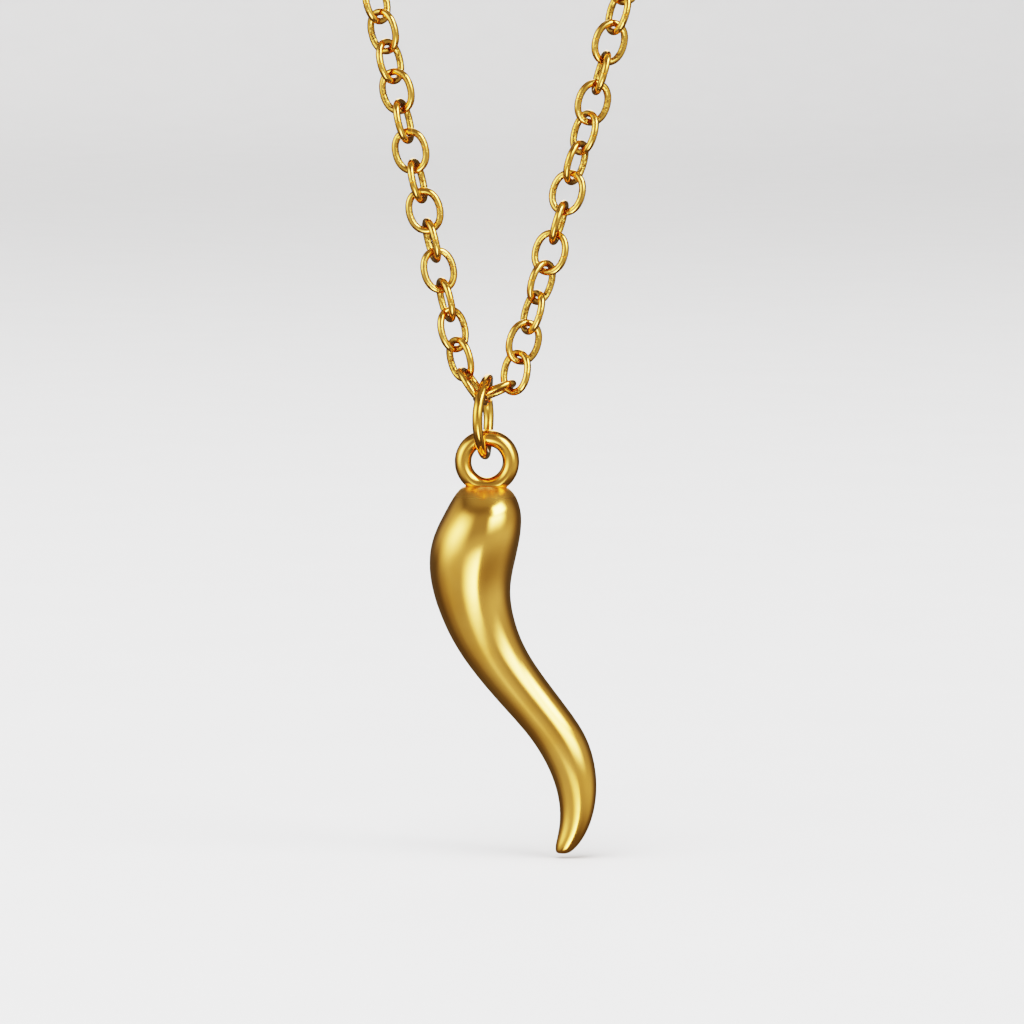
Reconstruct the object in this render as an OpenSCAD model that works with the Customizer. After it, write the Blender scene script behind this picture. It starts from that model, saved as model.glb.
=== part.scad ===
// A polished horn pendant on an oval cable chain, in millimetres, +Z up.
// The origin is the middle of the clasp at the top of the loop, where the chain hangs round a neck.
// X runs across the neck, the front faces -Y, and both strands meet at the pendant below.

/* [Horn] */
// Height of the horn, from the top of its dome to its rounded tip
horn_h = 30.1; // [27:0.1:33]
// Thickness of the horn, as a share of the drawn sections
horn_fat = 1; // [0.85:0.01:1.05]
// Depth of the horn from front to back, as a share of its thickness
horn_depth = 1; // [0.8:0.01:1.05]

/* [Eye] */
// Outer diameter of the round eye on top of the horn
eye_d = 5.25; // [5.2:0.01:5.4]
// Thickness of the eye's wire
eye_wire = 1.42; // [1.3:0.01:1.5]
// How far the top of the horn's dome lies below the eye's middle
dome_drop = 2; // [1.9:0.05:2.1]

/* [Jump ring] */
// Outer diameter of the jump ring
ring_d = 7; // [6.9:0.05:7.1]
// Thickness of its wire
ring_wire = 0.8; // [0.7:0.05:0.85]
// Turn of its back half to the right
ring_turn = 9; // [6:1:12]
// Width of the cut where its two ends meet
ring_cut = 0.06; // [0.04:0.01:0.15]

/* [Chain] */
// Outer length of a link
link_l = 3.8; // [3.76:0.01:3.84]
// Outer width of a link
link_w = 3.05; // [3:0.01:3.1]
// Thickness of a link's wire
wire = 0.58; // [0.5:0.01:0.58]
// Number of links on each side between the lowest links and the clasp
side_links = 86; // [84:2:86]

/* [Loop] */
// Height of the loop, from the clasp down to the point that both strands aim at
loop_h = 196.5; // [196:0.1:197.5]
// Lean of the left strand from upright
left_lean = 13.5; // [13:0.1:14]
// Lean of the right strand from upright
right_lean = 16.3; // [16:0.1:17]

/* [Clasp] */
// Length of the clasp's barrel
barrel_l = 8.4; // [8:0.1:8.6]
// Diameter of the clasp's barrel
barrel_d = 3.2; // [2.6:0.1:4]
// Outer diameter of the ring at each end of the clasp
end_ring_d = 3.6; // [3.5:0.05:3.7]
// Thickness of the end rings' wire
end_ring_wire = 0.7; // [0.6:0.05:0.75]

/* [Hidden] */
$fn = 32;

gold = "#d8a62a";
chain_gold = "#cc8f18";

// The horn's sections from dome to tip, as the cage of a smooth curve.
// Columns: distance below the top of the dome, middle's place to the right of the eye, half width.
horn_rows = [
    [0.00, -0.25, 0.00],
    [0.00, -0.25, 1.20],
    [0.05, -0.22, 2.00],
    [0.70, -0.15, 2.60],
    [2.30, -0.35, 3.25],
    [4.20, -0.90, 3.65],
    [6.30, -1.30, 3.55],
    [8.50, -1.38, 3.15],
    [10.8, -0.80, 2.92],
    [13.2, 0.25, 2.75],
    [15.6, 1.95, 2.68],
    [18.0, 3.95, 2.55],
    [20.2, 5.75, 2.30],
    [22.2, 6.75, 1.98],
    [24.2, 7.30, 1.65],
    [26.2, 7.40, 1.37],
    [28.0, 7.05, 1.12],
    [29.3, 6.45, 0.90],
    [30.0, 6.05, 0.55],
    [30.1, 6.00, 0.00]
];
horn_sides = 36;
horn_steps = 3;

// The three lowest links, from the eye's middle: the middle one lies across the jump ring.
// Columns: x, y, z, lean from upright towards +X, tip of the upper end to the back, twist.
low_left = [-1.10, -0.44, 6.13, -28.2, 10.1, 67.3];
low_middle = [0.62, 0.30, 5.72, 66.4, -2.7, 78.6];
low_right = [2.25, -0.07, 7.27, 8, 7.6, -44.8];

// Twist of each link seen in front, going up the strand: 0 faces the front, 90 is edge on.
left_twist = [-50, 41, -72, 19, -75, 0, 72, -9, 70, -24, 52, -39];
right_twist = [22, -62, 50, -18, 78, -20, 60, -52, 20, -80, 22, -60];

// Place of the first link of each strand above its aiming point, which lies a little above the eye.
left_start = 8.21;
right_start = 9.77;
aim_up = 0.35;

// The jump ring's middle, from the eye's middle, and the place of its cut above the horizontal.
ring_x = -0.08;
ring_z = 3.71;
cut_at = 22;

// Clearance between links that hang in each other.
play = 0.12;
bevel = 0.5;
level_l = 8;

eye_r = (eye_d - eye_wire) / 2;
eye_z = -loop_h - aim_up;
ring_r = (ring_d - ring_wire) / 2;
link_bend_r = (link_w - wire) / 2;
link_straight = link_l - link_w;
end_ring_r = (end_ring_d - end_ring_wire) / 2;
end_ring_x = barrel_l / 2 + end_ring_r;
last_link_x = end_ring_x + end_ring_r - end_ring_wire / 2 - wire - play + link_l / 2;

// A smooth cubic curve led by a cage of rows, which ends close to the first and last of them.
function blend(t) = [pow(1 - t, 3), 3 * t * t * t - 6 * t * t + 4, -3 * t * t * t + 3 * t * t + 3 * t + 1, t * t * t] / 6;
function smooth(rows, steps) =
    let (cage = concat([rows[0]], rows, [rows[len(rows) - 1]]), spans = len(cage) - 3)
    [for (i = [0:spans * steps])
        let (s = min(floor(i / steps), spans - 1))
        blend(i / steps - s) * [cage[s], cage[s + 1], cage[s + 2], cage[s + 3]]];

// A level ring of the horn. Its depth allows for the slope of the horn between the rows around it.
function horn_ring(above, here, below) =
    let (slope = atan2(below[1] - above[1], below[0] - above[0]),
         half_w = here[2] * horn_fat,
         half_d = half_w * cos(slope) * horn_depth)
    [for (i = [0:horn_sides - 1]) let (a = i * 360 / horn_sides)
        [here[1] + half_w * cos(a), half_d * sin(a), -here[0]]];

// Faces of a skin of rings that runs from a top point, number 0, to a bottom point, the last one.
function skin_faces(rings, sides) = concat(
    [for (i = [0:sides - 1]) [0, 1 + (i + 1) % sides, 1 + i]],
    [for (j = [0:rings - 2], i = [0:sides - 1]) let (a = 1 + j * sides, b = a + sides, n = (i + 1) % sides)
        each [[a + i, b + n, b + i], [a + i, a + n, b + n]]],
    [for (i = [0:sides - 1]) let (a = 1 + (rings - 1) * sides) [a + i, a + (i + 1) % sides, a + sides]]
);

// One strand: the straight run, the arc over the neck, then the level stretch beside the clasp.
function arc_r(lean) = (loop_h * sin(lean) - level_l * cos(lean)) / (1 + sin(lean));
function straight_l(lean) = level_l * sin(lean) + (loop_h - arc_r(lean)) * cos(lean);
function strand_l(lean) = straight_l(lean) + arc_r(lean) * (90 + lean) * PI / 180 + level_l;

// A point of a strand, s above its aiming point. Side is -1 for left, 1 for right.
// Columns: x, y, z, lean from upright towards +X.
function strand_at(s, lean, side) =
    let (r = arc_r(lean), turned = (s - straight_l(lean)) / r * 180 / PI - lean)
    s < straight_l(lean) ? [side * s * sin(lean), 0, s * cos(lean) - loop_h, side * lean]
    : turned < 90 ? [side * (level_l + r * cos(turned)), 0, r * sin(turned) - r, -side * turned]
    : [side * (strand_l(lean) - s), 0, 0, -side * 90];

// Past the links that show, each is a right angle on from the last, and the strand slowly untwists
// so that the last link crosses the clasp's ring.
function twist_of(k, shown) =
    let (left = side_links - 1 - k, n = side_links - 1 - len(shown))
    k < len(shown) ? shown[k] : 90 + 90 * left + (shown[len(shown) - 1] + 90) * left / n;

module horn_skin() {
    rows = smooth(horn_rows, horn_steps);
    end = len(rows) - 1;
    rings = [for (i = [0:end]) horn_ring(rows[max(i - 1, 0)], rows[i], rows[min(i + 1, end)])];
    top = [horn_rows[0][1], 0, 0];
    tip_row = horn_rows[len(horn_rows) - 1];
    tip = [tip_row[1], 0, -tip_row[0]];
    polyhedron(concat([top], [for (r = rings) each r], [tip]), skin_faces(len(rings), horn_sides));
}

module horn() {
    color(gold) translate([0, 0, eye_z]) {
        translate([0, 0, -dome_drop]) scale(horn_h / horn_rows[len(horn_rows) - 1][0]) horn_skin();
        rotate([90, 0, 0]) wire_ring(eye_r, eye_wire, 360);
    }
}

module wire_ring(r, d, turn) {
    rotate_extrude(angle = turn) translate([r, 0]) circle(d = d);
}

module jump_ring() {
    cut = ring_cut / ring_r * 180 / PI;
    color(gold) translate([ring_x, 0, eye_z + ring_z]) rotate([0, 0, 90 - ring_turn]) rotate([90, 0, 0])
        rotate([0, 0, cut_at]) wire_ring(ring_r, ring_wire, 360 - cut);
}

// A link stands upright and faces the front: two half rings and two straight sides.
module chain_link() {
    rotate([90, 0, 0]) {
        for (end = [0, 1]) mirror([0, end, 0]) translate([0, link_straight / 2, 0])
            wire_ring(link_bend_r, wire, 180);
        for (side = [-1, 1]) translate([side * link_bend_r, 0, 0])
            rotate([90, 0, 0]) cylinder(h = link_straight, d = wire, center = true);
    }
}

module low_link(row) {
    translate([row[0], row[1], eye_z + row[2]]) rotate([0, row[3], 0]) rotate([-row[4], 0, 0])
        rotate([0, 0, row[5]]) chain_link();
}

module strand(side, lean, start, shown) {
    pitch = (strand_l(lean) - last_link_x - start) / (side_links - 1);
    for (k = [0:side_links - 1]) {
        place = strand_at(start + k * pitch, lean, side);
        translate([place[0], place[1], place[2]]) rotate([0, place[3], 0]) rotate([0, 0, twist_of(k, shown)])
            chain_link();
    }
}

module chain_left() {
    color(chain_gold) {
        low_link(low_left);
        strand(-1, left_lean, left_start, left_twist);
    }
}

module chain_right() {
    color(chain_gold) {
        low_link(low_middle);
        low_link(low_right);
        strand(1, right_lean, right_start, right_twist);
    }
}

// A plain closed barrel with a ring soldered on each end.
module clasp() {
    color(gold) {
        rotate([0, 90, 0]) cylinder(h = barrel_l - 2 * bevel, d = barrel_d, center = true);
        for (end = [0, 1]) mirror([end, 0, 0]) {
            translate([barrel_l / 2 - bevel, 0, 0]) rotate([0, 90, 0])
                cylinder(h = bevel, d1 = barrel_d, d2 = barrel_d - 2 * bevel);
            translate([end_ring_x, 0, 0]) rotate([90, 0, 0]) wire_ring(end_ring_r, end_ring_wire, 360);
        }
    }
}

horn();
jump_ring();
chain_left();
chain_right();
clasp();
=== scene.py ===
# %% [markdown]
# # A horn pendant on its chain
# The necklace hangs from a clasp behind the neck. Two strands of oval links run down to a jump ring, and
# the jump ring carries a polished horn by its round eye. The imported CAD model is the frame: it says where
# every part is and how the ring and the horn swing. Each piece below is modelled again in Blender at the
# place of its CAD part, with smoother metal, and then stands for that part.

# %% Load the frame
import math

import bmesh
import bpy
import numpy as np
from mathutils import Matrix, Vector


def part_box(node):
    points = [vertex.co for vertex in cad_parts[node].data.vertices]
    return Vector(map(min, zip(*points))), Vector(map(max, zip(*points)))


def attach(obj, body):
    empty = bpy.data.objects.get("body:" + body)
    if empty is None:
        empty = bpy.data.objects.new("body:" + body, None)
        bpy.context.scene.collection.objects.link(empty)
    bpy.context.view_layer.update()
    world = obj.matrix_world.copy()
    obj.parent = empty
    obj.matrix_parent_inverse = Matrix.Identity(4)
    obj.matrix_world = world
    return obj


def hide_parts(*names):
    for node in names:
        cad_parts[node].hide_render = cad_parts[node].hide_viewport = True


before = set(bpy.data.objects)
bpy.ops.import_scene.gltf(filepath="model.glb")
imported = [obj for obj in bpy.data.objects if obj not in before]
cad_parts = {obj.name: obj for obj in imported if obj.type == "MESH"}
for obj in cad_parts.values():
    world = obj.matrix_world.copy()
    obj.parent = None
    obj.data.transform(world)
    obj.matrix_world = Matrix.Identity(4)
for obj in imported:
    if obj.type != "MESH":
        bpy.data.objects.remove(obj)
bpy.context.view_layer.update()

# %% [markdown]
# ## Working in millimetres
# Jewellery is measured in millimetres, and Blender's tools behave best on things about a unit across.
# So each piece is drawn with one Blender unit for a millimetre. Only when it is done is it scaled down to
# metres, which is what the frame uses, and the scale is applied so that the object itself stays unscaled.

# %% Helpers for drawing a piece by hand
MM = 0.001


def only(*pieces):
    """Selects these pieces alone, since an operator works on all that is selected."""
    bpy.ops.object.select_all(action="DESELECT")
    for piece in pieces:
        piece.select_set(True)
    bpy.context.view_layer.objects.active = pieces[0]


def edit(piece):
    only(piece)
    bpy.ops.object.mode_set(mode="EDIT")


def leave_edit():
    bpy.ops.object.mode_set(mode="OBJECT")


def pick(piece, kind, test):
    """Selects the verts, edges or faces of a piece in edit mode whose middle passes a test."""
    mesh = bmesh.from_edit_mesh(piece.data)
    bpy.ops.mesh.select_mode(type=kind)
    bpy.ops.mesh.select_all(action="DESELECT")
    parts = {"VERT": mesh.verts, "EDGE": mesh.edges, "FACE": mesh.faces}[kind]
    count = 0
    for part in parts:
        corners = [part.co] if kind == "VERT" else [v.co for v in part.verts]
        chosen = test(sum(corners, Vector()) / len(corners))
        part.select_set(chosen)
        count += chosen
    mesh.select_flush_mode()
    bmesh.update_edit_mesh(piece.data)
    return count


def turn_out(piece):
    """Points every face outwards."""
    edit(piece)
    bpy.ops.mesh.select_all(action="SELECT")
    bpy.ops.mesh.normals_make_consistent(inside=False)
    leave_edit()


def weld(piece, *others):
    """Unites closed pieces into one skin, as solder does."""
    for other in others:
        solder = piece.modifiers.new("Solder", "BOOLEAN")
        solder.operation = "UNION"
        solder.solver = "EXACT"
        solder.object = other
        only(piece)
        bpy.ops.object.modifier_apply(modifier=solder.name)
        bpy.data.objects.remove(other)


def to_metres(piece, name):
    """Scales a piece drawn in millimetres down to the frame's metres, in its mesh."""
    piece.name = piece.data.name = name
    only(piece)
    bpy.ops.object.transform_apply(location=True, rotation=True, scale=True)
    piece.scale = (MM, MM, MM)
    bpy.ops.object.transform_apply(location=False, rotation=False, scale=True)


def shade_smooth(piece, sharp_from=35):
    """Shades a piece smooth, apart from edges that turn by more than an angle in degrees."""
    only(piece)
    bpy.ops.object.shade_smooth_by_angle(angle=math.radians(sharp_from))


def hang(piece, body, slot, *nodes):
    """Hangs a finished piece on its CAD body, in place of the nodes that it stands for."""
    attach(piece, body)
    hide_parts(*nodes)
    triangles = sum(len(face.vertices) - 2 for face in piece.data.polygons)
    print(piece.name, "rides on", body, "with", triangles, "triangles")


print("drawing in millimetres, 1 unit =", MM, "m")

# %% [markdown]
# ## The horn
# The real horn is cast in a metal such as brass, ground smooth and plated. Its outline is one flowing S,
# from a fat rounded top to a slim tip, and a cross-section anywhere along it is round. It could be a bent
# and tapered cylinder, but such bends are hard to steer. Here it is a cage of twelve-sided rings, each
# extruded from the last one and then moved and sized, and a Subdivision Surface rounds the cage off.
# Twelve points are few enough to give one clean curve with no bumps in its highlights.

# %% Write down the horn's shape
EYE_OUTER = 5.25
EYE_WIRE = 1.36
EYE_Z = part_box("horn")[1].z / MM - EYE_OUTER / 2
# How far the top of the horn's dome lies below the eye's middle.
DOME_DROP = 2
DOME_Z = EYE_Z - DOME_DROP

# Columns: distance below the top of the dome, middle's place to the right of the eye and behind it,
# half width. The horn waves a little in depth too, which its highlights show.
HORN_ROWS = [
    (-0.15, -0.22, 0.00, 1.00),
    (0.00, -0.20, 0.00, 1.75),
    (0.45, -0.16, -0.04, 2.26),
    (1.10, -0.18, -0.14, 2.68),
    (2.30, -0.33, -0.32, 3.19),
    (4.20, -0.88, -0.20, 3.60),
    (6.30, -1.28, 0.13, 3.50),
    (8.50, -1.36, 0.30, 3.13),
    (10.8, -0.80, 0.37, 2.92),
    (13.2, 0.20, 0.26, 2.76),
    (15.6, 1.88, 0.02, 2.70),
    (18.0, 3.87, -0.19, 2.58),
    (20.2, 5.68, -0.34, 2.35),
    (22.2, 6.68, -0.42, 2.03),
    (24.2, 7.27, -0.42, 1.72),
    (26.2, 7.42, -0.42, 1.43),
    (28.0, 7.12, -0.42, 1.20),
    (29.3, 6.55, -0.42, 0.98),
    (30.0, 6.18, -0.42, 0.62),
]
TIP = (30.1, 6.12, -0.42)
# The top of the dome is flattened from front to back, so that it falls away close before the eye.
TOP_DEPTHS = [0.70, 0.78, 0.90, 0.98]
SIDES = 12
# Rounding a cage pulls it in by this share, so the cage is drawn that much larger.
PULLED_IN = (2 + math.cos(math.tau / SIDES)) / 3


def ring_size(number):
    """Half width and half depth of a cage ring. A sloping ring is less deep than it is wide."""
    above = HORN_ROWS[max(number - 1, 0)]
    below = HORN_ROWS[min(number + 1, len(HORN_ROWS) - 1)]
    slope = math.atan2(below[1] - above[1], below[0] - above[0])
    half_width = HORN_ROWS[number][3] / PULLED_IN
    share = TOP_DEPTHS[number] if number < len(TOP_DEPTHS) else 1
    return half_width, half_width * math.cos(slope) * share


def on_horn(below, across, behind):
    """A point inside the horn, from the first three columns of its table."""
    return Vector((across, behind, DOME_Z - below))


print("horn:", len(HORN_ROWS), "rings of", SIDES, "points,", TIP[0], "mm high")

# %% Extrude the horn's cage
# Edges further from the first ring's middle than this share of its size are its rim.
RIM = 0.9
AT_TIP = 0.05


def extruded_horn():
    first = ring_size(0)
    place = on_horn(*HORN_ROWS[0][:3])
    bpy.ops.mesh.primitive_circle_add(vertices=SIDES, radius=first[0], location=place)
    cage = bpy.context.object
    only(cage)
    bpy.ops.object.transform_apply(location=True)
    edit(cage)
    bpy.ops.mesh.select_all(action="SELECT")
    bpy.ops.transform.resize(value=(1, first[1] / first[0], 1), center_override=place)
    bpy.ops.mesh.edge_face_add()
    bpy.ops.mesh.poke()
    pick(cage, "EDGE", lambda middle: math.hypot(
        (middle.x - place.x) / first[0], (middle.y - place.y) / first[1]) > RIM)
    size = first
    for number in range(1, len(HORN_ROWS)):
        there = on_horn(*HORN_ROWS[number][:3])
        bpy.ops.mesh.extrude_region_move(TRANSFORM_OT_translate={"value": there - place})
        wanted = ring_size(number)
        growth = (wanted[0] / size[0], wanted[1] / size[1], 1)
        bpy.ops.transform.resize(value=growth, center_override=there)
        place, size = there, wanted
    bpy.ops.mesh.edge_face_add()
    bpy.ops.mesh.poke()
    pick(cage, "VERT", lambda middle: (middle - place).length < AT_TIP)
    bpy.ops.transform.translate(value=on_horn(*TIP) - place)
    leave_edit()
    return cage


horn = extruded_horn()
print("cage:", len(horn.data.vertices), "points in", len(HORN_ROWS), "rings")

# %% [markdown]
# ## The eye
# The eye is a ring of thick wire on top of the dome, soldered on and then polished with the horn. A torus
# gives its round wire, and it is stretched a little from front to back, as the real one is. Lying in each
# other, the two would keep hidden faces inside the metal. A Boolean union makes them one closed skin.

# %% Round the cage and weld the eye on
EYE_R = (EYE_OUTER - EYE_WIRE) / 2
EYE_DEEPER = 1.25
HORN_LEVELS = 3


def rounded(piece, levels):
    smooth = piece.modifiers.new("Rounding", "SUBSURF")
    smooth.levels = smooth.render_levels = levels
    only(piece)
    bpy.ops.object.modifier_apply(modifier=smooth.name)


rounded(horn, HORN_LEVELS)
turn_out(horn)
bpy.ops.mesh.primitive_torus_add(
    major_radius=EYE_R, minor_radius=EYE_WIRE / 2, major_segments=96, minor_segments=32,
    location=(0, 0, EYE_Z), rotation=(math.pi / 2, 0, 0))
eye = bpy.context.object
only(eye)
bpy.ops.transform.resize(value=(1, EYE_DEEPER, 1))
weld(horn, eye)
shade_smooth(horn)
to_metres(horn, "polished_horn")
hang(horn, "pendant", "horn_gold", "horn")

# %% [markdown]
# ## The jump ring
# A jump ring is one turn of round wire, cut from a coil. It is opened sideways to thread it and pressed
# shut again, so it is never quite flat: this one's front wall stands to the left of its back wall, which
# is why both walls show from the front. A torus has no ends, so the wire's round section is spun round
# almost a full turn instead. Then the ring is pulled aside by hand at its front, back, top and bottom, and
# one end at its cut, each with a soft falloff along the wire.

# %% Spin the jump ring
RING_R = 3.10
RING_WIRE = 0.82
RING_CUT = 0.06
CUT_AT = math.radians(22)
END_TURN = RING_CUT / RING_R
# The sprung ring hangs this much lower than the flat one in the CAD model.
RING_LOWER = 0.03
ring_low, ring_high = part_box("jump_ring")
ring_middle = Vector((0, 0, (ring_low.z + ring_high.z) / 2 / MM - RING_LOWER))


def to_wire(angle):
    """The direction from the ring's middle to its wire, at an angle above the back."""
    return Vector((0, math.cos(angle), math.sin(angle)))


def spun_ring():
    start = ring_middle + to_wire(CUT_AT) * RING_R
    bpy.ops.mesh.primitive_circle_add(
        vertices=24, radius=RING_WIRE / 2, location=start, rotation=(CUT_AT, 0, 0))
    ring = bpy.context.object
    only(ring)
    bpy.ops.object.transform_apply(location=True, rotation=True)
    edit(ring)
    bpy.ops.mesh.select_all(action="SELECT")
    bpy.ops.mesh.spin(steps=140, angle=math.tau - END_TURN, center=ring_middle, axis=(1, 0, 0))
    bpy.ops.mesh.select_all(action="SELECT")
    bpy.ops.mesh.fill_holes(sides=0)
    leave_edit()
    turn_out(ring)
    return ring


jump_ring = spun_ring()
print("jump ring:", len(jump_ring.data.vertices), "points")

# %% Spring it out of its plane
# Columns: direction from the ring's middle, how far the wire there is pulled to the right.
PULLS = [((0, -1, 0), -0.76), ((0, 1, 0), 0.14), ((0, 0, 1), 0.10), ((0, 0, -1), -0.13)]
QUARTER = RING_R * math.pi / 2
END_PULL = -0.14
END_REACH = 1.2
SECTION = RING_WIRE / 2 + 0.05


def pull(ring, towards, reach, shift):
    """Pulls the wire near a point of the ring to the right, less and less along it."""
    at = ring_middle + towards * RING_R
    pick(ring, "VERT", lambda middle: (middle - at).length < SECTION)
    bpy.ops.transform.translate(
        value=(shift, 0, 0), use_proportional_edit=True, use_proportional_connected=True,
        proportional_edit_falloff="SMOOTH", proportional_size=reach)


edit(jump_ring)
for towards, shift in PULLS:
    pull(jump_ring, Vector(towards), QUARTER, shift)
pull(jump_ring, to_wire(CUT_AT - END_TURN), END_REACH, END_PULL)
leave_edit()
shade_smooth(jump_ring)
to_metres(jump_ring, "sprung_jump_ring")
hang(jump_ring, "ring", "ring_gold", "jump_ring")

# %% [markdown]
# ## The chain's links
# A cable chain is made of wire wound on an oval bar, cut off turn by turn, and each turn is closed through
# the one before. Its ends were soldered, which leaves a fine seam across one side. The wire's path is a
# Bezier circle that is stretched into an oval, and the curve's bevel gives it the wire's round section all
# the way, which a stretched torus would not. Then it is turned into a mesh. The links near the pendant are
# seen closely and get many faces. The rest get a few dozen, since there are over a hundred of them.

# %% Model one link
LINK_L = 3.8
LINK_W = 3.05
WIRE = 0.58
HALF_W = (LINK_W - WIRE) / 2
HALF_L = (LINK_L - WIRE) / 2
# An ellipse's bends are a little tight for wound wire, so its handles are drawn out by this share.
FULLER = 1.09
# Across its solder seam the wire keeps this share of its thickness.
SEAM_DEPTH = 0.86


def mark_inner_side(link):
    """Notes for each point of the wire how far it faces the middle of its link, from 0 to 1."""
    facing = []
    for point in link.data.vertices:
        outwards = Vector((point.co.x / HALF_W**2, 0, point.co.z / HALF_L**2)).normalized()
        facing.append(max(0, -point.normal.dot(outwards)))
    link.data.attributes.new("inner_side", "FLOAT", "POINT").data.foreach_set("value", facing)


def wire_link(name, steps, sides, seam):
    """An upright oval of round wire. Steps is the number of pieces in each quarter of it, and seam is
    half the height of the solder seam in its left side, or 0 for none."""
    bpy.ops.curve.primitive_bezier_circle_add(radius=1, rotation=(math.pi / 2, 0, 0))
    oval = bpy.context.object
    only(oval)
    bpy.ops.object.transform_apply(rotation=True)
    bpy.ops.object.mode_set(mode="EDIT")
    bpy.ops.curve.select_all(action="SELECT")
    bpy.ops.curve.handle_type_set(type="ALIGNED")
    bpy.ops.transform.resize(value=(HALF_W, 1, HALF_L), center_override=(0, 0, 0))
    leave_edit()
    for point in oval.data.splines[0].bezier_points:
        point.handle_left = point.co.lerp(point.handle_left, FULLER)
        point.handle_right = point.co.lerp(point.handle_right, FULLER)
    oval.data.resolution_u = steps
    oval.data.bevel_depth = WIRE / 2
    oval.data.bevel_resolution = (sides - 4) // 2
    only(oval)
    bpy.ops.object.convert(target="MESH")
    link = bpy.context.object
    link.name = name
    edit(link)
    bpy.ops.mesh.select_all(action="SELECT")
    bpy.ops.mesh.remove_doubles(threshold=0.0001)
    if seam:
        for up in (-seam, seam):
            bpy.ops.mesh.select_all(action="SELECT")
            bpy.ops.mesh.bisect(plane_co=(0, 0, up), plane_no=(0, 0, 1))
        pick(link, "VERT", lambda middle: abs(middle.z) < 0.001 and middle.x < 0)
        bpy.ops.transform.resize(value=(SEAM_DEPTH, SEAM_DEPTH, 1), center_override=(-HALF_W, 0, 0))
    leave_edit()
    turn_out(link)
    shade_smooth(link, sharp_from=50)
    mark_inner_side(link)
    print(name, "has", len(link.data.polygons), "faces and is", tuple(round(v, 2) for v in link.dimensions))
    return link


near_link = wire_link("near_link", steps=12, sides=20, seam=0.03)
far_link = wire_link("far_link", steps=3, sides=6, seam=0)

# %% [markdown]
# ## Hanging the links in each other
# Where each link hangs, and how far it is twisted, is already settled in the CAD model, down to the tenth
# of a millimetre that keeps neighbours apart. So the places are measured rather than typed again: a copy
# of each CAD strand is taken apart into its loose links, and a link's middle and the three directions in
# which it is long, wide and thin come from its own points.
#
# Near the pendant the real strands hang a little further apart than in the CAD model, and the jump ring
# needs that room to swing. So there each strand is moved outwards, less and less on its way up, and its
# lowest links lean out to meet it.

# %% Measure the links of a CAD strand
# Points closer than this, in metres, are one point. The CAD mesh has each corner once for every triangle.
SAME_POINT = 0.000002


def link_places(node):
    """The matrix, in millimetres, that puts an upright link where each link of a CAD strand is."""
    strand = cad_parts[node].copy()
    strand.data = strand.data.copy()
    bpy.context.scene.collection.objects.link(strand)
    strand.parent = None
    strand.hide_render = strand.hide_viewport = False
    edit(strand)
    bpy.ops.mesh.select_all(action="SELECT")
    bpy.ops.mesh.remove_doubles(threshold=SAME_POINT)
    bpy.ops.mesh.separate(type="LOOSE")
    leave_edit()
    places = []
    for loose in bpy.context.selected_objects[:]:
        points = np.empty(len(loose.data.vertices) * 3)
        loose.data.vertices.foreach_get("co", points)
        points = points.reshape(-1, 3) / MM
        middle = points.mean(0)
        _, ways = np.linalg.eigh(np.cov((points - middle).T))
        thin, wide, long = ways.T
        if long[np.abs(long).argmax()] < 0:
            long = -long
        wide = np.cross(thin, long)
        spread = (points - middle) @ np.column_stack([wide, thin, long])
        middle = middle + np.column_stack([wide, thin, long]) @ ((spread.max(0) + spread.min(0)) / 2)
        turn = Matrix(np.column_stack([wide, thin, long]).tolist()).to_4x4()
        places.append(Matrix.Translation(middle) @ turn)
        bpy.data.objects.remove(loose)
    places.sort(key=lambda place: (round(place.translation.z, 3), round(place.translation.x, 3)))
    return places


cad_places = {node: link_places(node) for node in ("chain_left", "chain_right")}
print("links measured:", {node: len(places) for node, places in cad_places.items()})

# %% Open the strands out above the pendant
# Columns: x, y, height above the eye's middle, lean from upright, tip of the upper end to the back, twist.
LOWEST = {
    "chain_left": [(-1.146, -0.49, 6.166, -34.7, 11.2, 79.0)],
    "chain_right": [(0.62, 0.30, 5.72, 66.4, -2.7, 78.6), (2.33, -0.08, 7.26, 8.4, 8.2, -42.4)],
}
# A strand is moved by this much below the first height, and not at all above the second.
OUTWARDS = {"chain_left": -0.25, "chain_right": 0.25}
OUT_BELOW = -180.0
BACK_BY = -150.0


def low_place(x, y, above_eye, lean, tip, twist):
    return (Matrix.Translation((x, y, EYE_Z + above_eye)) @ Matrix.Rotation(math.radians(lean), 4, "Y")
            @ Matrix.Rotation(math.radians(-tip), 4, "X") @ Matrix.Rotation(math.radians(twist), 4, "Z"))


def opened_out(places, node):
    """Moves a strand outwards near the pendant and gives its lowest links their own places."""
    moved = [low_place(*row) for row in LOWEST[node]]
    for place in places[len(moved):]:
        up = min(max((place.translation.z - OUT_BELOW) / (BACK_BY - OUT_BELOW), 0), 1)
        share = 1 - up * up * (3 - 2 * up)
        moved.append(Matrix.Translation((OUTWARDS[node] * share, 0, 0)) @ place)
    return moved


open_places = {node: opened_out(measured, node) for node, measured in cad_places.items()}
print("lowest links at", [round(row[0].translation.z, 2) for row in open_places.values()], "mm")

# %% String new links at those places
# Below this height, in millimetres, links are in the photograph and are modelled with many faces.
NEAR_BELOW = -157.0


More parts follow.
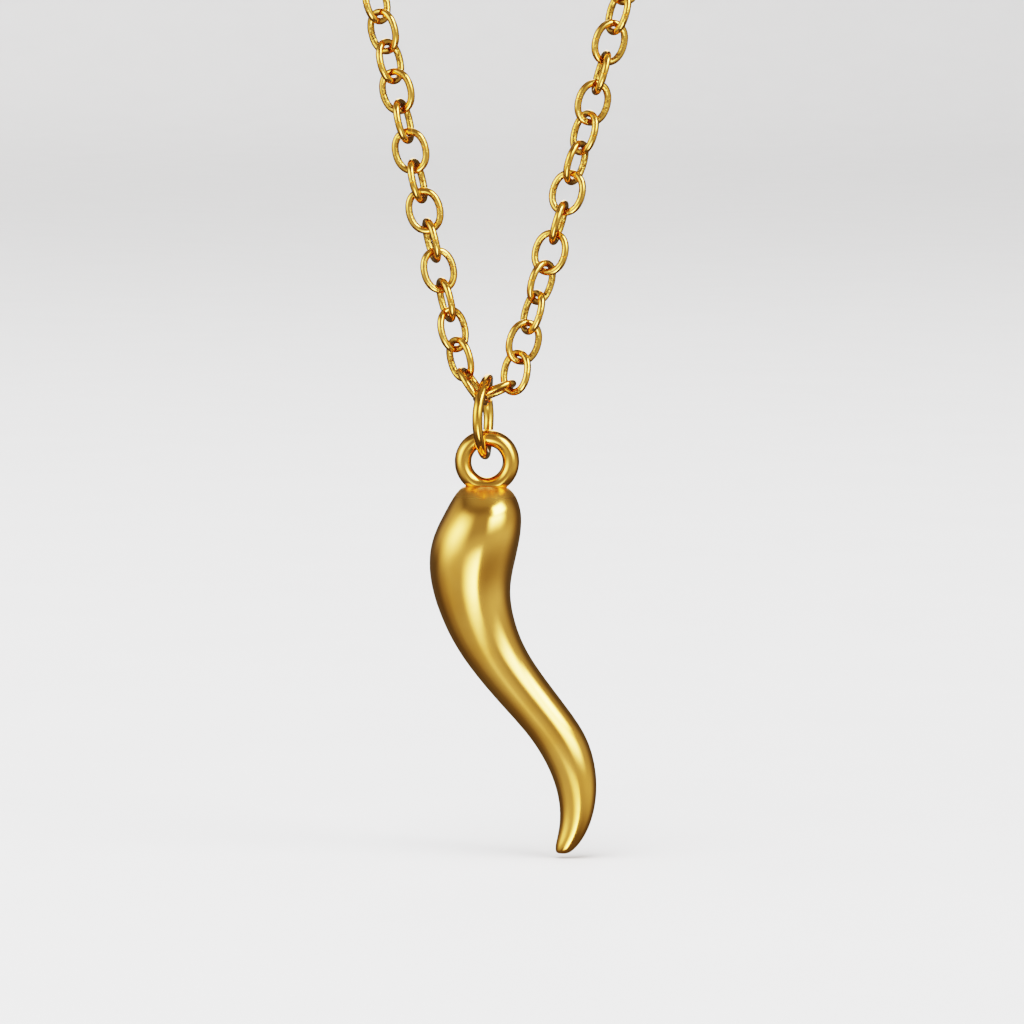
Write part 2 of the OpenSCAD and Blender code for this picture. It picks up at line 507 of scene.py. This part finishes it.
def string(name, node):
    """One strand: a copy of a link, with its own mesh, at each place. Every other one is turned round,
    so that the seams don't all lie on one side."""
    links = []
    for number, place in enumerate(open_places[node]):
        model = near_link if place.translation.z < NEAR_BELOW else far_link
        link = model.copy()
        link.data = model.data.copy()
        bpy.context.scene.collection.objects.link(link)
        turned = Matrix.Rotation(math.pi * (number % 2), 4, "Z")
        link.matrix_world = place @ turned
        links.append(link)
    bpy.context.view_layer.update()
    only(*links)
    bpy.ops.object.transform_apply(location=True, rotation=True, scale=True)
    bpy.ops.object.join()
    strand = bpy.context.object
    to_metres(strand, name)
    hang(strand, "necklace", "chain_gold", node)


string("left_strand", "chain_left")
string("right_strand", "chain_right")
for model in (near_link, far_link):
    bpy.data.objects.remove(model)

# %% [markdown]
# ## The clasp
# The clasp is behind the neck and out of the photograph, so it stays plain: a short turned barrel whose
# two halves screw together, with a wire ring soldered on each end for the last link of a strand. The
# barrel starts as a cylinder. Its ends are chamfered, and its middle is pinched in where the halves meet.

# %% Turn the barrel and solder its rings
BARREL_L = 8.4
BARREL_D = 3.2
END_RING_D = 3.6
END_RING_WIRE = 0.7
CHAMFER = 0.5
JOINT_W = 0.12
JOINT_DEPTH = 0.1
SOFTENED = 0.06
END_RING_R = (END_RING_D - END_RING_WIRE) / 2


def turned_barrel():
    bpy.ops.mesh.primitive_cylinder_add(
        vertices=64, radius=BARREL_D / 2, depth=BARREL_L, rotation=(0, math.pi / 2, 0))
    barrel = bpy.context.object
    only(barrel)
    bpy.ops.object.transform_apply(rotation=True)
    edit(barrel)
    pick(barrel, "FACE", lambda middle: abs(middle.x) > BARREL_L / 2 - 0.01)
    bpy.ops.mesh.region_to_loop()
    bpy.ops.mesh.bevel(offset=CHAMFER, segments=1, affect="EDGES")
    for across in (-JOINT_W / 2, 0, JOINT_W / 2):
        bpy.ops.mesh.select_all(action="SELECT")
        bpy.ops.mesh.bisect(plane_co=(across, 0, 0), plane_no=(1, 0, 0))
    pick(barrel, "VERT", lambda middle: abs(middle.x) < 0.001)
    pinch = 1 - JOINT_DEPTH / (BARREL_D / 2)
    bpy.ops.transform.resize(value=(1, pinch, pinch), center_override=(0, 0, 0))
    leave_edit()
    softened = barrel.modifiers.new("Softened edges", "BEVEL")
    softened.width = SOFTENED
    softened.segments = 3
    softened.limit_method = "ANGLE"
    softened.angle_limit = math.radians(25)
    only(barrel)
    bpy.ops.object.modifier_apply(modifier=softened.name)
    return barrel


clasp = turned_barrel()
end_rings = []
for side in (-1, 1):
    bpy.ops.mesh.primitive_torus_add(
        major_radius=END_RING_R, minor_radius=END_RING_WIRE / 2, major_segments=64, minor_segments=16,
        location=(side * (BARREL_L / 2 + END_RING_R), 0, 0), rotation=(math.pi / 2, 0, 0))
    end_rings.append(bpy.context.object)
weld(clasp, *end_rings)
shade_smooth(clasp)
to_metres(clasp, "barrel_clasp")
hang(clasp, "necklace", "clasp_gold", "clasp")

# %% [markdown]
# ## Shader maths
# A finish is easier to read as a formula than as a picture of nodes. An Amount stands for one number that
# a node gives out, and adding or multiplying Amounts adds the Math nodes for it. Colours don't pass
# through Math nodes, which would turn them grey: they are blended with a Mix node.

# %% A small language for nodes
class Graph:
    """The nodes of one material, or of the world."""

    def __init__(self, owner):
        owner.use_nodes = True
        self.tree = owner.node_tree
        self.tree.nodes.clear()

    def node(self, kind, settings=None, sockets=None, out=0):
        """Adds a node of any kind, sets it up, then fills or links its sockets."""
        made = self.tree.nodes.new("ShaderNode" + kind)
        for name, value in (settings or {}).items():
            setattr(made, name, value)
        for name, value in (sockets or {}).items():
            if isinstance(value, Amount):
                self.tree.links.new(value.socket, made.inputs[name])
            else:
                made.inputs[name].default_value = value
        return Amount(self, made.outputs[out]) if len(made.outputs) else made

    def mix(self, share, first, second):
        """Blends two colours: the first where the share is 0, the second where it is 1."""
        return self.node("Mix", {"data_type": "RGBA"}, {0: share, 6: first, 7: second}, out=2)

    def finish(self, kind, surface):
        self.node(kind, sockets={"Surface": surface})


class Amount:
    """What one socket gives out."""

    def __init__(self, graph, socket):
        self.graph = graph
        self.socket = socket

    def math(self, operation, *others):
        return self.graph.node("Math", {"operation": operation}, dict(enumerate((self, *others))))

    def swapped(self, operation, first):
        return self.graph.node("Math", {"operation": operation}, {0: first, 1: self})

    def __add__(self, other):
        return self.math("ADD", other)

    def __mul__(self, other):
        return self.math("MULTIPLY", other)

    def __sub__(self, other):
        return self.math("SUBTRACT", other)

    def __rsub__(self, other):
        return self.swapped("SUBTRACT", other)

    __radd__ = __add__
    __rmul__ = __mul__

    def rise(self, start, end):
        """0 before start and 1 after end, with an eased slope between them."""
        settings = {"interpolation_type": "SMOOTHSTEP", "clamp": True}
        return self.graph.node("MapRange", settings, {0: self, 1: start, 2: end, 3: 0.0, 4: 1.0})


print("shader maths ready")

# %% [markdown]
# ## Gold plate
# Gold takes nearly all its look from what it mirrors, so its own pattern is faint. The plate is never of
# one even thickness, which makes its colour drift a little. Polishing leaves shallow waves that bend the
# highlights, and a film of hairlines that is felt as roughness. The chain is tumbled rather than polished
# by hand, so its wire keeps fine pits, most of all on the inner side of each link; those pits and the inner
# side of each link are also painted dark, as painted shade. The wheel can't reach the corner under the
# eye, which stays a little matt, and the eye itself is painted darker than the horn, as painted shade for
# the darker reflections on it. One recipe makes all the finishes, with an amount for each effect.

# %% Name the colours and patterns of the plate
HORN_COLOUR = (1.0, 0.54, 0.135)
RING_COLOUR = (0.83, 0.44, 0.10)
CHAIN_COLOUR = (0.86, 0.47, 0.12)
# Painted shade: the dark colour put into the pits and, more faintly, on the inner side of each link.
PIT_SHADE = (0.34, 0.19, 0.04, 1)
# Shares of red, green and blue where the plate is a little deeper, and where the eye is painted darker, as
# painted shade.
DEEPER = (0.93, 0.86, 0.72)
EYE_SHADE = (0.84, 0.79, 0.70)
# Scale and detail of each pattern. A scale of 1 gives blotches about a millimetre across.
DRIFT = (0.22, 2.0)
SMEARS = (0.6, 2.0)
PATCHES = (0.8, 1.0)
WAVES = (0.9, 1.0)
PITS = (4.5, 2.0)
HAIRLINES = (9.0, 3.0)
NOWHERE = 1000


def shaded(colour, shares):
    return (*(value * share for value, share in zip(colour, shares)), 1)


print("plate colours:", HORN_COLOUR, RING_COLOUR, CHAIN_COLOUR)

# %% Mix the gold finishes
def gold(name, colour, rough, wave, pits, shaded_above=NOWHERE):
    """A gold plate. Wave and pits are heights in millimetres. Above a height it is painted darker, as
    painted shade, and just below that height is the corner that stays matt."""
    finish = bpy.data.materials.new(name)
    graph = Graph(finish)
    place = graph.node("TexCoord", out="Object")
    in_mm = graph.node("Mapping", sockets={"Vector": place, "Scale": (1 / MM, 1 / MM, 1 / MM)})

    def noise(pattern):
        scale, detail = pattern
        return graph.node("TexNoise", sockets={"Vector": in_mm, "Scale": scale, "Detail": detail})

    height = graph.node("SeparateXYZ", sockets={0: in_mm}, out=2)
    # Painted shade: above this height, on the eye, the colour is darkened for the darker reflections it
    # shows.
    shaded_eye = height.rise(shaded_above - 0.1, shaded_above + 0.3)
    corner = height.rise(shaded_above - 1.3, shaded_above - 0.3) * (1 - shaded_eye)
    inner = graph.node("Attribute", {"attribute_name": "inner_side"}, out="Fac").rise(0.05, 0.7)
    pitted = 0.3 * noise(PATCHES).rise(0.44, 0.58) + 0.7 * inner
    pit = noise(PITS).rise(0.46, 0.60) * pitted

    plate = graph.mix(noise(DRIFT).rise(0.35, 0.75), (*colour, 1), shaded(colour, DEEPER))
    # Painted shade: the eye's colour is darkened here.
    plate = graph.mix(shaded_eye, plate, shaded(colour, EYE_SHADE))
    # Painted shade: the pits, and a little the inner side of each link where the next link sits, are
    # painted dark.
    if pits:
        plate = graph.mix(0.7 * pit + 0.25 * inner, plate, PIT_SHADE)
    roughness = rough * (0.75 + 0.35 * noise(SMEARS) + 0.15 * noise(HAIRLINES)) + 0.22 * corner
    bumps = wave * noise(WAVES) - pits * pit
    relief = graph.node("Bump", sockets={"Height": bumps, "Distance": MM, "Strength": 1.0})
    metal = graph.node("BsdfPrincipled", sockets={
        "Base Color": plate, "Metallic": 1.0, "Roughness": roughness, "Normal": relief})
    graph.finish("OutputMaterial", metal)
    return finish


FINISHES = {
    "polished_horn": gold(
        "polished_horn_gold", HORN_COLOUR, rough=0.16, wave=0.004, pits=0.0, shaded_above=DOME_Z),
    "sprung_jump_ring": gold("jump_ring_gold", RING_COLOUR, rough=0.10, wave=0.012, pits=0.006),
    "left_strand": gold("left_chain_gold", CHAIN_COLOUR, rough=0.07, wave=0.008, pits=0.022),
    "right_strand": gold("right_chain_gold", CHAIN_COLOUR, rough=0.07, wave=0.008, pits=0.022),
    "barrel_clasp": gold("clasp_gold", HORN_COLOUR, rough=0.15, wave=0.006, pits=0.004),
}
for piece_name, finish in FINISHES.items():
    mesh = bpy.data.objects[piece_name].data
    mesh.materials.clear()
    mesh.materials.append(finish)
print("finishes:", ", ".join(sorted(FINISHES)))

# %% [markdown]
# ## The studio
# Polished gold shows its surroundings, so lighting it means arranging what it mirrors. A jeweller's
# photographer stands soft boxes round the piece and leaves the rest dim. Here the boxes are drawn on the
# world's dome, by their direction as seen from the pendant: 0 degrees is where the camera stands, and
# positive is to its right. The pale floor sweeps up into a wall all round. It is lit by a lamp of its own
# and is hidden from the metal, so it gives no glare.

# %% Sweep the floor up into a wall
FLOOR_Z = -0.2293
FLOOR_R = 2.2
FLOOR_BORDER = 0.3
# Columns: growth of the rim, its rise in metres.
SWEEP = [(1.06, 0.02), (1.05, 0.10), (1.03, 0.24), (1.01, 0.40), (1.0, 0.8)]


def floor_sweep():
    bpy.ops.mesh.primitive_circle_add(vertices=64, radius=FLOOR_R, location=(0, 0, FLOOR_Z))
    floor = bpy.context.object
    only(floor)
    bpy.ops.object.transform_apply(location=True)
    edit(floor)
    bpy.ops.mesh.select_all(action="SELECT")
    bpy.ops.mesh.edge_face_add()
    bpy.ops.mesh.inset(thickness=FLOOR_BORDER)
    pick(floor, "EDGE", lambda middle: middle.xy.length > FLOOR_R * 0.99)
    for growth, rise in SWEEP:
        bpy.ops.mesh.extrude_region_move(TRANSFORM_OT_translate={"value": (0, 0, rise)})
        bpy.ops.transform.resize(value=(growth, growth, 1), center_override=(0, 0, 0))
    leave_edit()
    rounded(floor, 2)
    bpy.ops.object.shade_smooth()
    floor.name = "studio_floor"
    return floor


floor = floor_sweep()
floor.visible_glossy = False
print("floor at", FLOOR_Z)

# %% Cover it with pale paper
PAPER = (0.72, 0.72, 0.73, 1)
PAPER_LIGHT = (0.76, 0.76, 0.77, 1)
PAPER_GRAIN = 60.0
paper = bpy.data.materials.new("pale_paper")
graph = Graph(paper)
on_floor = graph.node("TexCoord", out="Object")
grain = graph.node("TexNoise", sockets={"Vector": on_floor, "Scale": PAPER_GRAIN})
tone = graph.mix(grain, PAPER, PAPER_LIGHT)
graph.finish("OutputMaterial", graph.node(
    "BsdfPrincipled", sockets={"Base Color": tone, "Roughness": 0.9, "Specular IOR Level": 0.2}))
floor.data.materials.append(paper)
print("floor covered with", paper.name)

# %% Stand the soft boxes round the pendant
# Columns: left edge, right edge, softness of each, low edge, high edge, softness of each, brightness.
SOFT_BOXES = [
    (-85, -41, 50, 46, -1, 33, 42, 28, 3.9),
    (-78, 26, 25, 50, -40, 42, 24, 32, 0.2),
    (-129, -96, 50, 17, 4, 36, 27, 30, 0.5),
    (37, 76, 12, 30, 30, 51, 8, 11, 12.0),
    (26, 65, 18, 30, 12, 27, 38, 14, 8.0),
    (35, 111, 50, 50, -20, 48, 26, 45, 0.3),
    (-9, 18, 50, 10, -58, -27, 14, 28, 9.0),
]
studio = bpy.data.worlds.new("soft_box_studio")
bpy.context.scene.world = studio
graph = Graph(studio)
way = graph.node("SeparateXYZ", sockets={0: graph.node("TexCoord", out="Generated")})
to_x, to_y, to_z = (Amount(graph, way.socket.node.outputs[axis]) for axis in range(3))
round_to = to_x.math("ARCTAN2", 0 - to_y) * math.degrees(1)
up_to = to_z.math("ARCSINE") * math.degrees(1)


def soft_box(left, right, left_soft, right_soft, low, high, low_soft, high_soft, brightness):
    return brightness * (
        round_to.rise(left - left_soft / 2, left + left_soft / 2)
        * (1 - round_to.rise(right - right_soft / 2, right + right_soft / 2))
        * up_to.rise(low - low_soft / 2, low + low_soft / 2)
        * (1 - up_to.rise(high - high_soft / 2, high + high_soft / 2)))


# What the dim room itself gives: its walls, a little more in front, the table's pale edge below the
# camera, a strip light right behind the pendant and the ceiling.
aside = round_to.math("ABSOLUTE")
in_front = 0.04 * (1 - aside.rise(90, 130))
table_edge = 0.24 * (1 - aside.rise(80, 120)) * up_to.rise(-45, -20) * (1 - up_to.rise(-14, 10))
back_strip = 3.0 * aside.rise(164, 170) * up_to.rise(0, 12) * (1 - up_to.rise(45, 60))
ceiling = 0.22 * up_to.rise(45, 70)
glow = 0.10 + in_front + table_edge + back_strip + ceiling
for box in SOFT_BOXES:
    glow = glow + soft_box(*box)
mirrored = graph.node("Background", sockets={"Color": (1.0, 0.98, 0.95, 1), "Strength": glow})
plain = graph.node("Background", sockets={"Color": (0.8, 0.8, 0.82, 1), "Strength": 0.6})
is_camera = graph.node("LightPath", out="Is Camera Ray")
graph.finish("OutputWorld", graph.node("MixShader", sockets={0: is_camera, 1: mirrored, 2: plain}))
print("soft boxes:", len(SOFT_BOXES))

# %% Light the floor
LAMP_AT = (-0.25, -0.35, 0.9)
LAMP_SIZE = 1.2
LAMP_WATTS = 30
bpy.ops.object.light_add(type="AREA", location=LAMP_AT)
lamp = bpy.context.object
lamp.name = "floor_lamp"
lamp.data.shape = "DISK"
lamp.data.size = LAMP_SIZE
lamp.data.energy = LAMP_WATTS
lamp.rotation_euler = (Vector((0, 0, FLOOR_Z)) - lamp.location).to_track_quat("-Z", "Y").to_euler()
lamp.visible_glossy = False
lamp.visible_camera = False
print("lamp:", LAMP_WATTS, "W")

# %% [markdown]
# ## The camera
# The photographer stood well back with a long lens and looked slightly down, so the horn has almost no
# perspective. A 200 mm lens on a 36 mm sensor frames 83 mm of the necklace from 46 cm away.

# %% Set up the camera
AIM = Vector((2.03, 0, -200.96)) * MM
DISTANCE = 0.4625
LOOK_DOWN = math.radians(5)
LENS = 200
SENSOR = 36
back = Vector((0, -math.cos(LOOK_DOWN), math.sin(LOOK_DOWN)))
bpy.ops.object.camera_add(location=AIM + back * DISTANCE)
camera = bpy.context.object
camera.rotation_euler = (-back).to_track_quat("-Z", "Y").to_euler()
camera.data.lens = LENS
camera.data.sensor_width = SENSOR
camera.data.clip_start = 0.01
camera.data.clip_end = 20
bpy.context.scene.camera = camera
bpy.context.scene.view_settings.view_transform = "Filmic"
bpy.context.scene.view_settings.look = "High Contrast"
print("camera at", tuple(round(v, 4) for v in camera.location))
